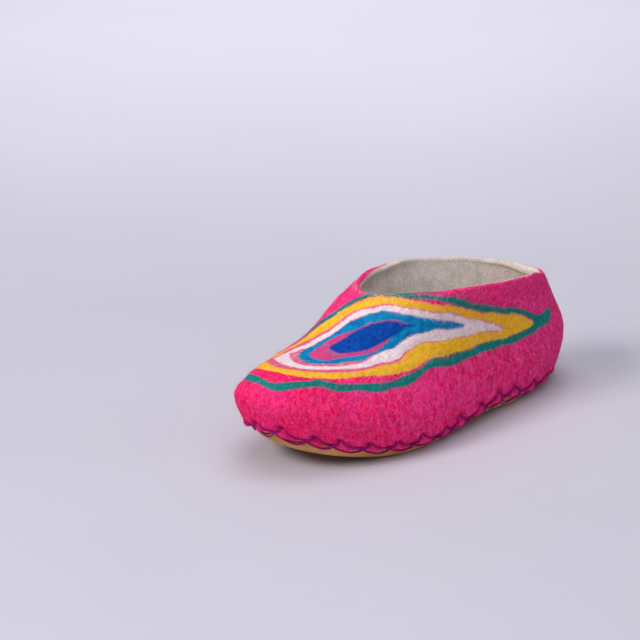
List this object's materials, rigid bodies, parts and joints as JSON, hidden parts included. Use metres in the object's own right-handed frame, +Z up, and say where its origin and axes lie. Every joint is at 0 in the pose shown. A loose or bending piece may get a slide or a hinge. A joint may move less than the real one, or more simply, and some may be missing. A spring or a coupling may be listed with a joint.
{
  "type": "felted wool slipper",
  "caption": "Low slipper of thick felted wool with a felted ring pattern, open at a round collar, with a felt insole and a stitched-on leather outsole.",
  "frame": {"origin": "on the floor, under the middle of the slipper's box", "axes": "+Z up; the toe points to -Y and the heel to +Y; the wearer's outer side is +X"},
  "size_m": [0.0983, 0.262, 0.0885],
  "materials": {
    "pink_felt": "mottled, fibrous, matt",
    "cream_felt": "fibrous, matt",
    "tan_leather": "smooth grain, matt"
  },
  "bodies": {
    "root": {"upper": "pink_felt", "insole": "cream_felt", "outsole": "tan_leather"}
  },
  "joints": []
}
